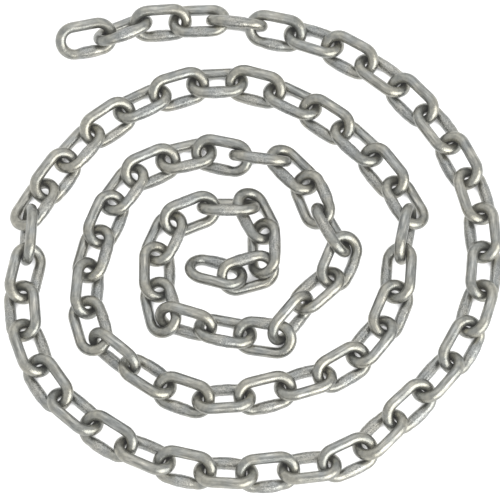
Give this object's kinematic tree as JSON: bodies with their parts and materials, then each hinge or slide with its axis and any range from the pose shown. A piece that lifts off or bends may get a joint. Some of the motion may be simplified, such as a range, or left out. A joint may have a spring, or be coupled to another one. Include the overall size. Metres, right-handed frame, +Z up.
{
  "type": "steel link chain",
  "caption": "Length of galvanised round-steel link chain laid flat in a loose spiral, with both end links free.",
  "frame": {"origin": "middle of the laid chain's footprint, on the ground that it lies on", "axes": "+Z up from the ground; +Y points away from the viewer of the picture, and +X to the right; the outer end link lies at -X +Y"},
  "size_m": [0.3806, 0.3949, 0.0301],
  "materials": {
    "galvanised_steel": "hot-dip galvanised, matt mottled zinc grey with brighter worn bends"
  },
  "bodies": {
    "root": {"link_01": "galvanised_steel", "links_02_03": "galvanised_steel", "links_04_05": "galvanised_steel", "links_06_07": "galvanised_steel", "links_08_09": "galvanised_steel", "links_10_11": "galvanised_steel", "links_12_13": "galvanised_steel", "links_14_15": "galvanised_steel", "links_16_17": "galvanised_steel", "links_18_19": "galvanised_steel", "links_20_21": "galvanised_steel", "links_22_23": "galvanised_steel", "links_24_25": "galvanised_steel", "links_26_27": "galvanised_steel", "links_28_29": "galvanised_steel", "links_30_31": "galvanised_steel", "links_32_33": "galvanised_steel", "links_34_35": "galvanised_steel", "links_36_37": "galvanised_steel", "links_38_39": "galvanised_steel", "links_40_41": "galvanised_steel", "links_42_43": "galvanised_steel", "links_44_45": "galvanised_steel", "links_46_47": "galvanised_steel", "links_48_49": "galvanised_steel", "links_50_51": "galvanised_steel", "links_52_53": "galvanised_steel", "links_54_55": "galvanised_steel", "links_56_57": "galvanised_steel", "links_58_59": "galvanised_steel", "links_60_61": "galvanised_steel", "links_62_63": "galvanised_steel", "links_64_65": "galvanised_steel", "links_66_67": "galvanised_steel", "links_68_69": "galvanised_steel", "links_70_71": "galvanised_steel", "links_72_73": "galvanised_steel", "links_74_75": "galvanised_steel", "links_76_77": "galvanised_steel", "links_78_79": "galvanised_steel", "links_80_81": "galvanised_steel", "links_82_83": "galvanised_steel", "link_84": "galvanised_steel"}
  },
  "joints": []
}
